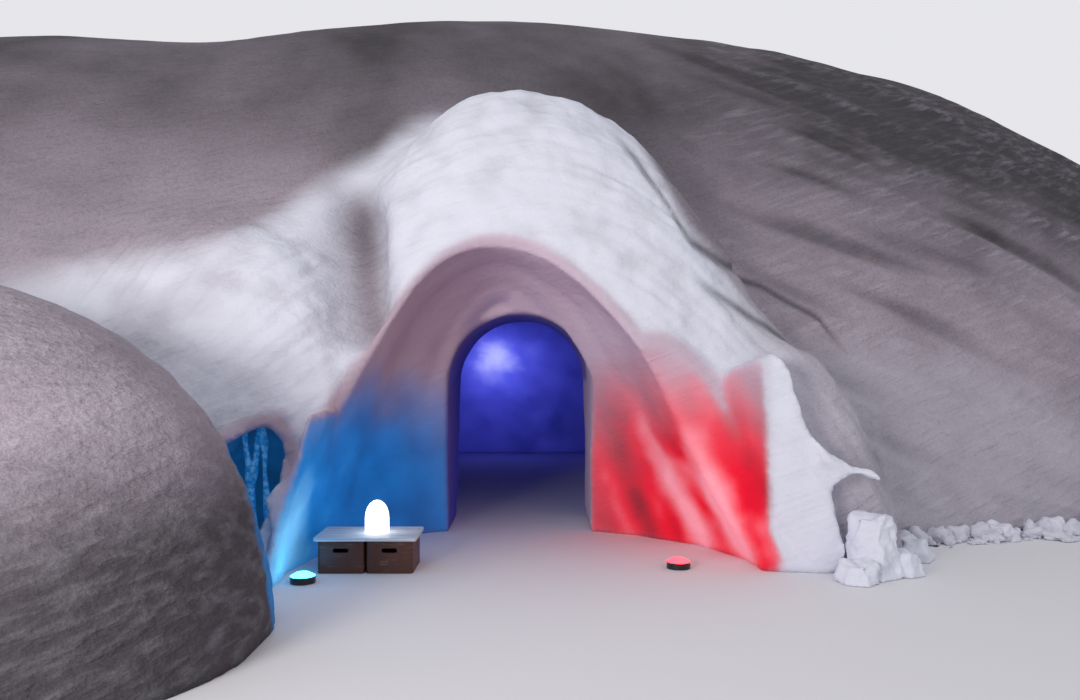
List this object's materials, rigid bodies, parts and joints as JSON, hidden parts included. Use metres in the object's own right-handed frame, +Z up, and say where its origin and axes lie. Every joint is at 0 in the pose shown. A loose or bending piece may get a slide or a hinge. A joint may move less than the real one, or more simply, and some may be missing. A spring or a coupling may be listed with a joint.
{
  "type": "snow igloo",
  "caption": "Large snow igloo: an oblong wind-shaped mound over a vaulted hall, entered through a hooded portal and arched passage, with coloured floor lamps.",
  "frame": {"origin": "middle of the footprint, on the ground", "axes": "X along the mound, -Y is the portal side, +Z up"},
  "size_m": [23.82, 13.9796, 5.5395],
  "materials": {
    "back_wall_left_snow": "wind-packed snow with fine ripples",
    "back_wall_middle_snow": "wind-packed snow with fine ripples",
    "back_wall_right_snow": "wind-packed snow with fine ripples",
    "blue_lamp": "clear lens over blue light, black rim",
    "crate": "moulded crate plastic, scuffed",
    "dome_glow": "opal plastic, lit from inside",
    "broken_snow": "broken packed snow, sharp edges",
    "front_wall_left_snow": "packed snow, smoothed by hand and frosted",
    "front_wall_right_snow": "packed snow, smoothed by hand and frosted",
    "left_bank_snow": "packed snow, smoothed by hand and frosted",
    "left_end_wall_snow": "wind-packed snow with fine ripples",
    "fin_snow": "packed snow, smoothed by hand and frosted",
    "left_wing_snow": "packed snow, smoothed by hand and frosted",
    "strand_ice": "glassy refrozen snow",
    "passage_arch_snow": "packed snow, smoothed by hand and frosted",
    "passage_left_wall_snow": "packed snow, smoothed by hand and frosted",
    "passage_right_wall_snow": "packed snow, smoothed by hand and frosted",
    "portal_crown_snow": "packed snow, smoothed by hand and frosted",
    "portal_left_foot_snow": "packed snow, smoothed by hand and frosted",
    "portal_left_haunch_snow": "packed snow, smoothed by hand and frosted",
    "portal_right_foot_snow": "packed snow, smoothed by hand and frosted",
    "portal_right_haunch_snow": "packed snow, smoothed by hand and frosted",
    "red_lamp": "clear lens over red light, black rim",
    "right_end_wall_snow": "wind-packed snow with fine ripples",
    "right_flank_snow": "packed snow, smoothed by hand and frosted",
    "roof_back_left_snow": "wind-packed snow with fine ripples",
    "roof_back_middle_snow": "wind-packed snow with fine ripples",
    "roof_back_right_snow": "wind-packed snow with fine ripples",
    "roof_front_left_snow": "wind-packed snow with fine ripples",
    "roof_front_middle_snow": "wind-packed snow with fine ripples",
    "roof_front_right_snow": "wind-packed snow with fine ripples",
    "board": "pale painted board, rimed with frost",
    "violet_lamp": "clear lens over violet light, black rim"
  },
  "bodies": {
    "root": {"back_wall_left": "back_wall_left_snow", "back_wall_middle": "back_wall_middle_snow", "back_wall_right": "back_wall_right_snow", "blue_floor_lamp": "blue_lamp", "crate_left": "crate", "crate_right": "crate", "dome_lamp": "dome_glow", "foot_crumbs": "broken_snow", "front_wall_left": "front_wall_left_snow", "front_wall_right": "front_wall_right_snow", "left_bank": "left_bank_snow", "left_end_wall": "left_end_wall_snow", "left_fin": "fin_snow", "left_wing": "left_wing_snow", "niche_strands": "strand_ice", "passage_arch": "passage_arch_snow", "passage_left_wall": "passage_left_wall_snow", "passage_right_wall": "passage_right_wall_snow", "portal_crown": "portal_crown_snow", "portal_left_foot": "portal_left_foot_snow", "portal_left_haunch": "portal_left_haunch_snow", "portal_right_foot": "portal_right_foot_snow", "portal_right_haunch": "portal_right_haunch_snow", "red_floor_lamp": "red_lamp", "right_end_wall": "right_end_wall_snow", "right_fin": "fin_snow", "right_flank": "right_flank_snow", "roof_back_left": "roof_back_left_snow", "roof_back_middle": "roof_back_middle_snow", "roof_back_right": "roof_back_right_snow", "roof_front_left": "roof_front_left_snow", "roof_front_middle": "roof_front_middle_snow", "roof_front_right": "roof_front_right_snow", "snow_blocks": "broken_snow", "table_board": "board", "violet_floor_lamp": "violet_lamp"}
  },
  "joints": []
}
